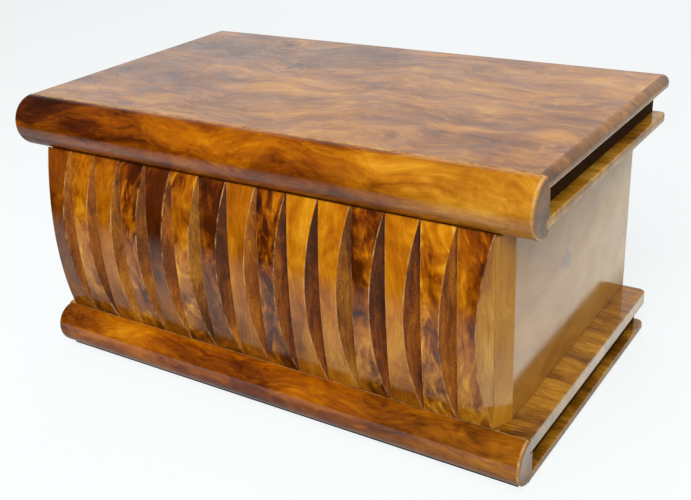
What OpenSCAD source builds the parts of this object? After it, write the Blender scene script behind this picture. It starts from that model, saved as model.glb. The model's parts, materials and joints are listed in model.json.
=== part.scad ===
/* [Body] */
// Width of the body over its side panels
body_w = 217.8; // [200:0.2:240]
// Depth of the body, from the rear of the front board to the rear panel's outer face
body_d = 122.7; // [105:0.1:150]
// Height of the side and rear panels
body_h = 77.1; // [68:0.1:95]
// Thickness of the side and rear panels
panel_t = 8; // [7:0.1:9]
// Thickness of the front board
board_t = 8; // [7.5:0.1:10]

/* [Book row] */
// Height of the barrel front over its back plane
bulge = 8.2; // [6:0.1:9]
// Thickness of a book at its head and foot
book_edge = 0.8; // [0.6:0.1:1.5]
// Angle of a groove's wall to the front direction
groove_angle = 23.5; // [18:0.5:26]

/* [Lid book] */
// Lid's reach past each side panel
lid_side_reach = 11.1; // [7:0.1:16]
// Lid's reach past the rear panel
lid_rear_reach = 8.6; // [7.5:0.1:12]
// Thickness of the upper cover
lid_top_t = 5.2; // [4.6:0.1:7]
// Height of the page edges between the covers
lid_page_h = 10.4; // [8:0.1:14]
// Thickness of the lower cover
lid_low_t = 3.8; // [3.6:0.1:5]
// Radius of the rounded spine
lid_spine_r = 11.1; // [10.2:0.1:12.2]
// Drop of the spine below the lower cover
spine_lip = 2.1; // [1.6:0.1:3.4]
// Set-back of the lower cover's rear edge from the upper cover's
lid_low_set = 3; // [0:0.1:4]
// Rounding of the upper cover's outer top edges
lid_round = 4; // [1:0.1:4.4]
// Set of the lid's crease in front of the front board's rear face
crease_set = 1.7; // [1.2:0.1:4]

/* [Base book] */
// Base's reach past the right side panel
base_right_reach = 10.7; // [6:0.1:16]
// Base's reach past the left side panel
base_left_reach = 1.1; // [0.6:0.1:12]
// Thickness of the base's upper cover, the floor of the box
base_top_t = 6.3; // [5:0.1:8]
// Height of the page edges between the base's covers
base_page_h = 9.2; // [8.6:0.1:12]
// Thickness of the base's lower cover
base_low_t = 3.1; // [2.5:0.1:5]
// Thickness of the felt under the base
felt_t = 1; // [0.8:0.1:2]
// Inset of the felt from the base's edges
felt_inset = 3; // [2:0.1:8]

/* [Pages] */
// Set-back of the page edges at the ends of the base book
page_recess = 4; // [2:0.1:6]
// Set-back of the page edges at the ends of the lid book
lid_page_recess = 5.2; // [2:0.1:7]
// Set-back of the page edges at the rear
page_recess_rear = 2; // [1:0.1:4]
// Width of a strip of page edges
page_strip = 10; // [6:0.1:14]
// Spine's tongue between the covers
spine_tongue = 2.2; // [1:0.1:4]
// Depth of the line along each crease
crease_cut = 0.5; // [0.2:0.1:0.8]
// Rounding of the covers' rear corners
cover_corner = 2.5; // [1:0.1:4]

/* [Sliding books] */
// Depth of the dovetail groove in the front board
groove_d = 3.6; // [3:0.1:4]
// Height of the groove at its mouth
groove_mouth = 14; // [12:0.5:16]
// Height of the groove at its floor
groove_floor = 20; // [18:0.5:24]
// Height of the groove's middle above the box floor
groove_rise = 44; // [36:0.5:46]
// Solid length left at the groove's right end
groove_end = 5; // [4:0.5:8]

/* [Key drawer] */
// Length of the drawer
drawer_len = 78; // [74:0.5:95]
// Travel of the drawer
drawer_travel = 48; // [44:0.5:50]
// Length of the key tray along the drawer
tray_len = 36; // [34:0.5:38]
// Width of the key tray across the drawer
tray_w = 62; // [58:0.5:70]
// Thickness of the tray's floor
tray_floor_t = 1.6; // [1.2:0.1:1.9]
// Wall between the tray and the drawer's visible end
tray_wall = 6; // [5:0.1:8]
// Width of the guide rail
rail_w = 6; // [4:0.1:8]
// Height of the guide rail
rail_h = 3; // [2:0.1:4]

/* [Key] */
// Radius of the key's barrel
key_r = 2; // [1.9:0.1:2.2]
// Length of the key's barrel
key_len = 36; // [32:0.5:38]
// Outer radius of the key's bow
bow_r = 8; // [7:0.1:8.5]
// Length of the key's bit out from the barrel's axis
bit_reach = 7; // [6:0.1:8]
// Bore of the barrel
key_bore_r = 1.2; // [1.1:0.05:1.3]

/* [Lock] */
// Width of the lock case
lock_w = 36; // [34:0.5:44]
// Height of the lock case
lock_h = 42; // [40:0.5:46]
// Depth of the lock case
lock_d = 11; // [10:0.1:14]
// Sheet thickness of the lock case and its cap
lock_t = 1.2; // [1:0.1:1.5]
// Gap from the lock case's top to the top of the side panels
lock_drop = 4.7; // [4.2:0.1:6]
// Travel of the bolt
bolt_travel = 6; // [5:0.1:6.5]
// Height of the bolt's bar
bolt_h = 4; // [3.6:0.1:4.4]
// Thickness of the bolt
bolt_t = 3; // [2.4:0.1:3.2]
// Radius of the keyhole's round part
keyhole_r = 3; // [2.8:0.1:3.2]
// Width of the keyhole's slot
keyhole_slot = 2.6; // [2.2:0.1:3]

/* [Hinges] */
// Length of a hinge
hinge_len = 26; // [24:0.5:34]
// Distance of each hinge's middle from the middle of the box
hinge_x = 70; // [50:0.5:80]
// Radius of the hinge knuckle
knuckle_r = 2.4; // [2.2:0.1:2.6]
// Radius of the hinge pin
pin_r = 1; // [0.8:0.05:1.2]
// Thickness of a hinge leaf
leaf_t = 1.1; // [0.9:0.05:1.3]
// Depth of a hinge leaf from the rear panel's face
leaf_d = 6.4; // [6:0.1:6.6]

/* [Clearances] */
// Gap between pieces that slide past each other
slide_gap = 0.3; // [0.25:0.05:0.4]
// Gap between the lid and the body
lid_gap = 0.3; // [0.3:0.05:0.6]
// Radial clearance of the hinge pins
pin_gap = 0.05; // [0.03:0.01:0.08]
// Radial clearance of the screws and brads in their holes
screw_gap = 0.03; // [0.02:0.01:0.1]

/* [Hidden] */
BOOKS = 15;
FIXED = 7;
function book_name(i) = str("book_", i < 10 ? "0" : "", i);
$fn = 64;
// Overlap of a cutter past the face that it cuts
past = 1;

// Heights
base_low_z = felt_t;
base_page_z = base_low_z + base_low_t;
base_top_z = base_page_z + base_page_h;
floor_z = base_top_z + base_top_t;
panel_top = floor_z + body_h;
lid_low_z = panel_top + lid_gap;
lid_page_z = lid_low_z + lid_low_t;
lid_top_z = lid_page_z + lid_page_h;
lid_z = lid_top_z + lid_top_t;
lip_z = lid_low_z - spine_lip;
board_top = lip_z - lid_gap;
book_foot = floor_z + slide_gap;
groove_z = floor_z + groove_rise;

// Spines
base_r = (floor_z - base_low_z) / 2;
lid_spine_z = lid_z - lid_spine_r;

// Depths, with the whole box centred
depth = base_r + board_t + body_d + lid_rear_reach;
books_y = base_r - depth / 2;
board_rear = books_y + board_t;
groove_y = books_y + groove_d;
body_rear = board_rear + body_d;
lid_y = board_rear - crease_set;
lid_rear = body_rear + lid_rear_reach;
lid_low_rear = lid_rear - lid_low_set;
lid_pages_y1 = lid_low_rear - page_recess_rear;

// Widths
panel_x = body_w / 2;
lid_x = panel_x + lid_side_reach;
base_x0 = -panel_x - base_left_reach;
base_x1 = panel_x + base_right_reach;
row_w = body_w - 2 * board_t * tan(groove_angle);
pitch = row_w / BOOKS;

// Barrel front of the books, whose heads tuck in under the lid's spine
book_head = lid_spine_z - sqrt(pow(lid_spine_r + lid_gap, 2) - pow(lid_y - books_y, 2));
barrel_sag = bulge - book_edge;
barrel_h = book_head - book_foot;
barrel_r = (barrel_h * barrel_h / 4 + barrel_sag * barrel_sag) / (2 * barrel_sag);
barrel_mid = (book_head + book_foot) / 2;

// Runner of the sliding books
slide_x0 = (FIXED - BOOKS / 2) * pitch;
groove_x1 = row_w / 2 - groove_end;
runner_x1 = groove_x1 - pitch - slide_gap;

// Key drawer
drawer_x1 = base_x1 - page_recess;
drawer_x0 = drawer_x1 - drawer_len;
drawer_y0 = books_y + spine_tongue + slide_gap;
drawer_y1 = body_rear - page_recess_rear - page_strip - slide_gap;
drawer_z0 = base_page_z + slide_gap;
drawer_z1 = base_top_z - slide_gap;
tray_x1 = drawer_x1 - tray_wall;
tray_x0 = tray_x1 - tray_len;
tray_y0 = drawer_y0 + tray_wall;
tray_y1 = tray_y0 + tray_w;
tray_z = drawer_z0 + tray_floor_t;
rail_y = (tray_y1 + drawer_y1) / 2;
rail_x0 = drawer_x0 - page_strip;
rail_x1 = drawer_x1 - tray_wall;

// Key in its tray
key_room = 1;
key_x = tray_x0 + bow_r + key_room;
key_z = tray_z + key_r + slide_gap;
key_y0 = tray_y0 + 2 * key_room;
bow_t = 2.6;
bow_sink = 1;
bow_y = key_y0 + key_len + bow_r - bow_sink;
bit_w = 6;
bit_t = 2;
bit_set = 1;
key_bore_len = 14;

// Lock
lock_x = lock_w / 2;
lock_y0 = board_rear;
lock_y1 = lock_y0 + lock_d;
lock_z1 = panel_top - lock_drop;
lock_z0 = lock_z1 - lock_h;
lock_ear = 7;
// Room for the lug's arc as the lid lifts
arc_room = 1.4;
eye_gap = 0.5;
eye_wall = 1.6;
lug_half = bolt_t / 2 + eye_gap + eye_wall;
lug_x = 4;
lug_t = 2;
bolt_y = lock_y0 + lock_t + lug_half + arc_room;
spring_drop = 2.8;
bolt_z = lock_z1 - lock_t - spring_drop - bolt_h / 2;
lug_foot = bolt_z - bolt_h / 2 - eye_gap - eye_wall;
bolt_x1 = lug_x - 2 * slide_gap;
keyhole_rise = 2;
keyhole_z = groove_z + keyhole_rise;
keyhole_drop = bit_reach - bit_set;
post_gap = 0.2;
post_r = key_bore_r - post_gap;

// Stump that guides the bolt, and the slot over it
stump_r = 1.4;
stump_x = -6;
slot_r = stump_r + slide_gap;
slot_wall = 1.4;
stump_z = bolt_z - bolt_h / 2 - slot_r;
bolt_x0 = stump_x - bolt_travel - slot_r - slot_wall;
tail_x1 = lug_x - bolt_travel - 2 * slide_gap;
tail_w = 7;
tail_z = keyhole_z + keyhole_r + slide_gap;
talon = 2.4;
spring_t = 0.4;
spring_half = 7;
spring_x = (bolt_x0 + bolt_x1) / 2;

// Strike on the lid
strike_t = 1.2;
strike_half = 9;
strike_edge = 1;

// Hinges
hinge_set = 0.1;
hinge_y = body_rear + knuckle_r + hinge_set;
hinge_z = (panel_top + lid_low_z) / 2;
knuckle_gap = 0.3;
knuckle_len = (hinge_len - 2 * knuckle_gap) / 3;
notch_r = knuckle_r + knuckle_gap;
notch_half = hinge_len / 2 + knuckle_gap;
hinge_screw_r = 1.1;
hinge_screw_head = 2;
hinge_screw_len = 3.4;
hinge_screw_in = 6;
hinge_screw_x = hinge_len / 2 - hinge_screw_in;
hinge_screw_y = body_rear - leaf_d / 2;

// Fasteners
screw_r = 1.2;
screw_head = 2.3;
groove_land = 1;
lock_screw_len = lock_t + board_t - groove_d - groove_land;
cap_screw_len = 6;
brad_r = 0.6;
brad_len = 3.2;
brad_in = 1.8;
plate_t = 0.8;
plate_half = 5;

// Colours
burl = [0.55, 0.29, 0.09];
burl_dark = [0.36, 0.17, 0.06];
burl_gold = [0.68, 0.40, 0.12];
page_brown = [0.14, 0.07, 0.035];
inner_wood = [0.50, 0.33, 0.18];
brass = [0.72, 0.55, 0.25];
steel = [0.55, 0.55, 0.56];
felt_black = [0.03, 0.03, 0.03];

// A block between two corners
module block(low, high) {
    translate(low) cube(high - low);
}

// A profile in Y and Z drawn out along X
module along_x(x0, x1) {
    translate([x0, 0, 0]) rotate([90, 0, 90]) linear_extrude(x1 - x0) children();
}

// A profile in X and Z drawn out along Y
module along_y(y0, y1) {
    translate([0, y1, 0]) rotate([90, 0, 0]) linear_extrude(y1 - y0) children();
}

// A profile in X and Y drawn out along Z
module along_z(z0, z1) {
    translate([0, 0, z0]) linear_extrude(z1 - z0) children();
}

// A round bar along X or Y between two places
module bar_x(x0, x1, y, z, r) {
    translate([x0, y, z]) rotate([0, 90, 0]) cylinder(r = r, h = x1 - x0);
}
module bar_y(x, y0, y1, z, r) {
    translate([x, y1, z]) rotate([90, 0, 0]) cylinder(r = r, h = y1 - y0);
}

// The waste of a rounded corner whose point is at p, with the solid towards d
module corner_waste(p, d, r) {
    difference() {
        translate([min(p.x, p.x + d.x * r), min(p.y, p.y + d.y * r)]) square(r);
        translate([p.x + d.x * r, p.y + d.y * r]) circle(r);
    }
}

// A rounded book spine from its crease forwards, flat below z0, with a tongue between the covers
module spine(x0, x1, y, r, z0, z1, tongue_z0, tongue_z1) {
    along_x(x0, x1) {
        difference() {
            translate([y, z1 - r]) circle(r);
            translate([y, z1 - 2 * r - past]) square(2 * r + 2 * past);
            translate([y - 2 * r, z0 - 2 * r]) square(2 * r);
            translate([y, z1]) rotate(45) square(crease_cut * sqrt(2), center = true);
        }
        translate([y - past, tongue_z0]) square([spine_tongue + past, tongue_z1 - tongue_z0]);
    }
}

// A board with its rear corners rounded
module board(x0, x1, y0, y1, z0, z1) {
    along_z(z0, z1) difference() {
        translate([x0, y0]) square([x1 - x0, y1 - y0]);
        corner_waste([x0, y1], [1, -1], cover_corner);
        corner_waste([x1, y1], [-1, -1], cover_corner);
    }
}

// A cover board from its crease back, with the line of the crease along its top front edge
module cover(x0, x1, y0, y1, z0, z1) {
    difference() {
        board(x0, x1, y0, y1, z0, z1);
        along_x(x0 - past, x1 + past)
            translate([y0, z1]) rotate(45) square(crease_cut * sqrt(2), center = true);
    }
}

// A countersunk screw or its hole, with its head's face at the origin and its point towards -Z
module screw(r, head, len, grow = 0) {
    translate([0, 0, -len]) cylinder(r = r + grow, h = len);
    rotate_extrude() polygon([[0, 0], [head + grow, 0], [r + grow, r - head], [0, r - head]]);
}

// Base book
module base_felt() {
    color(felt_black)
        block([base_x0 + felt_inset, books_y - felt_inset, 0],
              [base_x1 - felt_inset, body_rear - felt_inset, felt_t]);
}

module base_lower_cover() {
    color(burl)
        board(base_x0, base_x1, books_y, body_rear, base_low_z, base_page_z);
}

module base_upper_cover() {
    color(burl)
        cover(base_x0, base_x1, books_y, body_rear, base_top_z, floor_z);
}

module base_spine() {
    color(burl_dark)
        spine(base_x0, base_x1, books_y, base_r, base_low_z, floor_z, base_page_z, base_top_z);
}

module base_pages_left() {
    color(page_brown)
        block([base_x0 + page_recess, books_y + spine_tongue, base_page_z],
              [base_x0 + page_recess + page_strip, body_rear - page_recess_rear, base_top_z]);
}

module base_pages_rear() {
    color(page_brown)
        block([base_x0 + page_recess + page_strip, body_rear - page_recess_rear - page_strip, base_page_z],
              [drawer_x1, body_rear - page_recess_rear, base_top_z]);
}

module guide_rail() {
    color(inner_wood)
        block([rail_x0, rail_y - rail_w / 2, base_page_z],
              [rail_x1, rail_y + rail_w / 2, base_page_z + rail_h]);
}

// Key drawer in the base's right-hand page edges
module key_drawer() {
    color(page_brown) difference() {
        block([drawer_x0, drawer_y0, drawer_z0], [drawer_x1, drawer_y1, drawer_z1]);
        block([tray_x0, tray_y0, tray_z], [tray_x1, tray_y1, drawer_z1 + past]);
        block([drawer_x0 - past, rail_y - rail_w / 2 - slide_gap, drawer_z0 - past],
              [rail_x1 + slide_gap, rail_y + rail_w / 2 + slide_gap, base_page_z + rail_h + slide_gap]);
    }
}

// Barrel key lying in its tray, its bow towards the rear
module key() {
    color(steel) {
        difference() {
            union() {
                bar_y(key_x, key_y0, key_y0 + key_len, key_z, key_r);
                translate([key_x, key_y0 + bit_set, key_z - bit_t / 2]) cube([bit_reach, bit_w, bit_t]);
            }
            bar_y(key_x, key_y0 - past, key_y0 + key_bore_len, key_z, key_bore_r);
        }
        translate([key_x, bow_y, key_z - bow_t / 2]) difference() {
            cylinder(r = bow_r, h = bow_t);
            translate([0, 0, -past]) cylinder(r = bow_r - bow_t, h = bow_t + 2 * past);
        }
    }
}

// Body panels
module side_panel(side) {
    low = side < 0 ? -panel_x : panel_x - panel_t;
    color(burl) block([low, board_rear, floor_z], [low + panel_t, body_rear, panel_top]);
}
module side_panel_left() { side_panel(-1); }
module side_panel_right() { side_panel(1); }

module rear_panel() {
    color(burl) difference() {
        block([panel_t - panel_x, body_rear - panel_t, floor_z], [panel_x - panel_t, body_rear, panel_top]);
        for (side = [-1, 1])
            block([side * hinge_x - hinge_len / 2, body_rear - leaf_d, panel_top - leaf_t],
                  [side * hinge_x + hinge_len / 2, body_rear + past, panel_top + past]);
        hinge_screws_at(panel_top, 1, screw_gap);
    }
}

// Outline of the groove in Y and Z, grown or shrunk by a gap
module groove_outline(gap = 0, front = 0) {
    polygon([
        [books_y - front, groove_z - groove_mouth / 2 + gap],
        [groove_y - gap, groove_z - groove_floor / 2 + gap],
        [groove_y - gap, groove_z + groove_floor / 2 - gap],
        [books_y - front, groove_z + groove_mouth / 2 - gap],
    ]);
}

// The front board and what lies on it between two depths, with ends slanted as the books' walls are
module board_layer(y0, y1) {
    function end_x(y) = row_w / 2 + (y - books_y) * tan(groove_angle);
    along_z(floor_z, board_top)
        polygon([[-end_x(y0), y0], [end_x(y0), y0], [end_x(y1), y1], [-end_x(y1), y1]]);
}

// Outline of the keyhole in X and Z
module keyhole_outline() {
    translate([0, keyhole_z]) circle(keyhole_r);
    translate([-keyhole_slot / 2, keyhole_z - keyhole_drop - key_r])
        square([keyhole_slot, keyhole_drop + key_r]);
}

// Outline of the keyhole plate in X and Z
module plate_outline() {
    reach = groove_floor / 2 - plate_half - slide_gap;
    for (end = [-1, 1])
        translate([0, groove_z + end * reach]) circle(plate_half);
    translate([-plate_half, groove_z - reach]) square([2 * plate_half, 2 * reach]);
}

module front_board() {
    color(burl_gold) difference() {
        board_layer(groove_y, board_rear);
        along_y(books_y, board_rear + past) keyhole_outline();
        along_y(books_y, groove_y + plate_t) plate_outline();
        keyhole_brads_at(screw_gap);
        lock_screws_at(screw_gap);
    }
}

// Bevelled strip above or below the groove, which gives it its dovetail
module runner_way(side, edge_z) {
    color(burl_gold) intersection() {
        along_x(-panel_x, panel_x)
            polygon([
                [books_y, groove_z + side * groove_mouth / 2],
                [groove_y, groove_z + side * groove_floor / 2],
                [groove_y, edge_z],
                [books_y, edge_z],
            ]);
        board_layer(books_y, groove_y);
    }
}
module runner_way_upper() { runner_way(1, board_top); }
module runner_way_lower() { runner_way(-1, floor_z); }

// Stretch of the groove that is filled with wood, between two places
module groove_fill(x0, x1) {
    color(inner_wood) intersection() {
        along_x(x0, x1) groove_outline();
        board_layer(books_y, groove_y);
    }
}

// Block at the groove's right end, and strip behind the fixed books
module groove_stop() { groove_fill(groove_x1, panel_x); }
module groove_filler() { groove_fill(-panel_x, slide_x0); }

module keyhole_plate() {
    color(brass) difference() {
        along_y(groove_y, groove_y + plate_t) plate_outline();
        along_y(books_y, board_rear) keyhole_outline();
        keyhole_brads_at(screw_gap);
    }
}

module keyhole_brads_at(grow) {
    for (end = [-1, 1])
        bar_y(0, groove_y, groove_y + brad_len,
              groove_z + end * (groove_floor / 2 - brad_in), brad_r + grow);
}

module keyhole_brads() {
    color(brass) keyhole_brads_at(0);
}

// One book of the row, its back set in front of the board by a gap
module book(i, gap) {
    mid = (i - (BOOKS + 1) / 2) * pitch;
    lean = (bulge + past) * tan(groove_angle);
    color(i % 2 == 0 ? burl_gold : burl_dark) intersection() {
        bar_x(mid - pitch, mid + pitch, books_y - bulge + barrel_r, barrel_mid, barrel_r);
        along_z(book_foot, book_head)
            polygon([
                [mid - pitch / 2, books_y],
                [mid - pitch / 2 + lean, books_y - bulge - past],
                [mid + pitch / 2 - lean, books_y - bulge - past],
                [mid + pitch / 2, books_y],
            ]);
        block([mid - pitch, books_y - 2 * bulge, 0], [mid + pitch, books_y - gap, lid_z]);
    }
}

// Dovetail runner glued to the sliding books
module book_runner() {
    color(inner_wood) along_x(slide_x0 + slide_gap, runner_x1) groove_outline(slide_gap, slide_gap);
}

// Lock on the rear of the front board
module lock_screws_at(grow) {
    for (side = [-1, 1], z = [lock_z0 + lock_ear, lock_z1 - lock_ear])
        translate([side * (lock_x + lock_ear / 2), lock_y0 + lock_t, z])
            rotate([-90, 0, 0]) screw(screw_r, screw_head, lock_screw_len, grow);
}

module lock_screws() {
    color(brass) lock_screws_at(0);
}

module lock_cap_screws_at(grow) {
    for (side = [-1, 1])
        translate([side * (lock_x - lock_ear / 2 - lock_t), lock_y1 + lock_t, lock_z0 + lock_ear])
            rotate([-90, 0, 0]) screw(screw_r, screw_head, cap_screw_len, grow);
}

module lock_cap_screws() {
    color(brass) lock_cap_screws_at(0);
}

module lock_case() {
    color(steel) difference() {
        union() {
            difference() {
                block([-lock_x, lock_y0, lock_z0], [lock_x, lock_y1, lock_z1]);
                block([lock_t - lock_x, lock_y0 + lock_t, lock_z0 + lock_t],
                      [lock_x - lock_t, lock_y1 + past, lock_z1 - lock_t]);
            }
            block([-lock_x - lock_ear, lock_y0, lock_z0], [lock_x + lock_ear, lock_y0 + lock_t, lock_z1]);
            for (side = [-1, 1])
                bar_y(side * (lock_x - lock_ear / 2 - lock_t), lock_y0 + lock_t / 2, lock_y1,
                      lock_z0 + lock_ear, screw_head);
            bar_y(stump_x, lock_y0 + lock_t / 2, lock_y1, stump_z, stump_r);
        }
        along_y(lock_y0 - past, lock_y0 + lock_t + past) keyhole_outline();
        block([lug_x - arc_room / 2, bolt_y - lug_half - arc_room, lock_z1 - 2 * lock_t],
              [lug_x + lug_t + arc_room / 2, bolt_y + lug_half + arc_room, lock_z1 + past]);
        lock_screws_at(screw_gap);
        lock_cap_screws_at(screw_gap);
    }
}

module lock_cap() {
    color(steel) difference() {
        block([-lock_x, lock_y1, lock_z0], [lock_x, lock_y1 + lock_t, lock_z1]);
        lock_cap_screws_at(screw_gap);
    }
}

module key_post() {
    color(steel) bar_y(0, lock_y0 + lock_t, lock_y1, keyhole_z, post_r);
}

// Curved leaf spring over the bolt
module lock_spring() {
    top = lock_z1 - lock_t;
    drop = spring_drop - slide_gap;
    r = (spring_half * spring_half + drop * drop) / (2 * drop);
    color(steel) along_y(bolt_y - bolt_t / 2, bolt_y + bolt_t / 2) intersection() {
        translate([spring_x, top - drop + r]) difference() {
            circle(r);
            circle(r - spring_t);
        }
        translate([spring_x - spring_half, top - drop]) square([2 * spring_half, drop]);
    }
}

// Bolt with its tail, talon and the slot over the stump
module lock_bolt() {
    plate_z = stump_z - slot_r - slot_wall;
    color(brass) along_y(bolt_y - bolt_t / 2, bolt_y + bolt_t / 2) difference() {
        union() {
            translate([bolt_x0, bolt_z - bolt_h / 2]) square([bolt_x1 - bolt_x0, bolt_h]);
            translate([bolt_x0, plate_z]) square([tail_x1 - bolt_x0, bolt_z - plate_z]);
            translate([tail_x1 - tail_w, tail_z]) square([tail_w, bolt_z - tail_z]);
        }
        translate([tail_x1 - (tail_w + talon) / 2, tail_z - past]) square([talon, talon + past]);
        for (x = [stump_x - bolt_travel, stump_x])
            translate([x, stump_z]) circle(slot_r);
        translate([stump_x - bolt_travel, stump_z - slot_r]) square([bolt_travel, 2 * slot_r]);
    }
}

// Hinges behind the rear panel
module hinge_screws_at(z, way, grow) {
    for (side = [-1, 1], end = [-1, 1])
        translate([side * hinge_x + end * hinge_screw_x, hinge_screw_y, z])
            mirror([0, 0, way < 0 ? 1 : 0])
                screw(hinge_screw_r, hinge_screw_head, hinge_screw_len, grow);
}

module hinge_knuckle(x0, x1) {
    bar_x(x0, x1, hinge_y, hinge_z, knuckle_r);
}

// One leaf with its knuckles, given as ranges along X
module hinge_leaf(mid, z0, z1, ranges, others) {
    difference() {
        union() {
            block([mid - hinge_len / 2, body_rear - leaf_d, z0], [mid + hinge_len / 2, hinge_y, z1]);
            for (k = ranges)
                hinge_knuckle(mid + k[0], mid + k[1]);
        }
        for (k = others)
            bar_x(mid + k[0] - knuckle_gap, mid + k[1] + knuckle_gap, hinge_y, hinge_z, notch_r);
        bar_x(mid - hinge_len, mid + hinge_len, hinge_y, hinge_z, pin_r + pin_gap);
    }
}

outer_knuckles = [[-hinge_len / 2, -hinge_len / 2 + knuckle_len],
                  [hinge_len / 2 - knuckle_len, hinge_len / 2]];
inner_knuckle = [[-knuckle_len / 2, knuckle_len / 2]];

module hinge_leaves_body() {
    color(brass) difference() {
        for (side = [-1, 1])
            hinge_leaf(side * hinge_x, panel_top - leaf_t, panel_top, outer_knuckles, inner_knuckle);
        hinge_screws_at(panel_top, 1, screw_gap);
    }
}

module hinge_leaves_lid() {
    color(brass) difference() {
        for (side = [-1, 1])
            hinge_leaf(side * hinge_x, lid_low_z, lid_low_z + leaf_t, inner_knuckle, outer_knuckles);
        hinge_screws_at(lid_low_z, -1, screw_gap);
    }
}

module hinge_pins() {
    color(steel)
        for (side = [-1, 1])
            bar_x(side * hinge_x - hinge_len / 2, side * hinge_x + hinge_len / 2, hinge_y, hinge_z, pin_r);
}

module hinge_screws_body() {
    color(brass) hinge_screws_at(panel_top, 1, 0);
}

module hinge_screws_lid() {
    color(brass) hinge_screws_at(lid_low_z, -1, 0);
}

// Lid book
module lid_upper_cover() {
    color(burl) intersection() {
        cover(-lid_x, lid_x, lid_y, lid_rear, lid_top_z, lid_z);
        along_y(lid_y - past, lid_rear + past) difference() {
            translate([-lid_x, lid_top_z]) square([2 * lid_x, lid_top_t]);
            corner_waste([-lid_x, lid_z], [1, -1], lid_round);
            corner_waste([lid_x, lid_z], [-1, -1], lid_round);
        }
        along_x(-lid_x - past, lid_x + past) difference() {
            translate([lid_y, lid_top_z]) square([lid_rear - lid_y, lid_top_t]);
            corner_waste([lid_rear, lid_z], [-1, -1], lid_round);
        }
    }
}

module lid_lower_cover() {
    color(burl) difference() {
        board(-lid_x, lid_x, lid_y, lid_low_rear, lid_low_z, lid_page_z);
        for (side = [-1, 1]) {
            block([side * hinge_x - hinge_len / 2, body_rear - leaf_d, lid_low_z - past],
                  [side * hinge_x + hinge_len / 2, hinge_y, lid_low_z + leaf_t]);
            block([side * hinge_x - notch_half, hinge_y - notch_r, lid_low_z - past],
                  [side * hinge_x + notch_half, lid_rear + past, hinge_z + notch_r]);
        }
        hinge_screws_at(lid_low_z, -1, screw_gap);
        strike_seat();
        strike_screws_at(screw_gap);
    }
}

module lid_spine() {
    color(burl_gold) {
        spine(-lid_x, lid_x, lid_y, lid_spine_r, lip_z, lid_z, lid_page_z, lid_top_z);
        block([-lid_x, lid_y - past, lip_z], [lid_x, board_rear - lid_gap, lid_low_z]);
    }
}

module lid_pages_side(side) {
    low = side < 0 ? lid_page_recess - lid_x : lid_x - lid_page_recess - page_strip;
    color(page_brown)
        block([low, lid_y + spine_tongue, lid_page_z], [low + page_strip, lid_pages_y1, lid_top_z]);
}
module lid_pages_left() { lid_pages_side(-1); }
module lid_pages_right() { lid_pages_side(1); }

module lid_pages_rear() {
    reach = lid_x - lid_page_recess - page_strip;
    color(page_brown)
        block([-reach, lid_pages_y1 - page_strip, lid_page_z], [reach, lid_pages_y1, lid_top_z]);
}

module strike_seat() {
    block([lug_x + lug_t / 2 - strike_half, bolt_y - lug_half, lid_low_z],
          [lug_x + lug_t / 2 + strike_half, bolt_y + lug_half, lid_low_z + strike_t]);
}

module strike_screws_at(grow) {
    for (side = [-1, 1])
        translate([lug_x + lug_t / 2 + side * (strike_half - hinge_screw_head - strike_edge),
                   bolt_y, lid_low_z])
            mirror([0, 0, 1]) screw(hinge_screw_r, hinge_screw_head, hinge_screw_len, grow);
}

// Strike plate with the lug that the bolt passes through
module strike_plate() {
    eye = bolt_h / 2 + eye_gap;
    color(brass) difference() {
        union() {
            strike_seat();
            block([lug_x, bolt_y - lug_half, lug_foot],
                  [lug_x + lug_t, bolt_y + lug_half, lid_low_z + strike_t / 2]);
        }
        block([lug_x - past, bolt_y - bolt_t / 2 - eye_gap, bolt_z - eye],
              [lug_x + lug_t + past, bolt_y + bolt_t / 2 + eye_gap, bolt_z + eye]);
        strike_screws_at(screw_gap);
    }
}

module strike_screws() {
    color(brass) strike_screws_at(0);
}

base_felt();
base_lower_cover();
base_upper_cover();
base_spine();
base_pages_left();
base_pages_rear();
guide_rail();
front_board();
runner_way_upper();
runner_way_lower();
groove_stop();
groove_filler();
side_panel_left();
side_panel_right();
rear_panel();
for (i = [1:BOOKS])
    book(i, i <= FIXED ? 0 : slide_gap);
book_runner();
keyhole_plate();
keyhole_brads();
lock_case();
lock_cap();
lock_cap_screws();
lock_screws();
key_post();
lock_spring();
lock_bolt();
hinge_leaves_body();
hinge_pins();
hinge_screws_body();
lid_upper_cover();
lid_lower_cover();
lid_spine();
lid_pages_left();
lid_pages_right();
lid_pages_rear();
hinge_leaves_lid();
hinge_screws_lid();
strike_plate();
strike_screws();
key_drawer();
key();
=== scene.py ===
"""Shapes, finishes and stage of a polished burl wood box made up as a row of books."""
import json
import math

import bmesh
import bpy
from bpy.props import FloatProperty, FloatVectorProperty, PointerProperty
from bpy.types import Operator, Panel, PropertyGroup
from mathutils import Matrix, Vector


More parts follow.
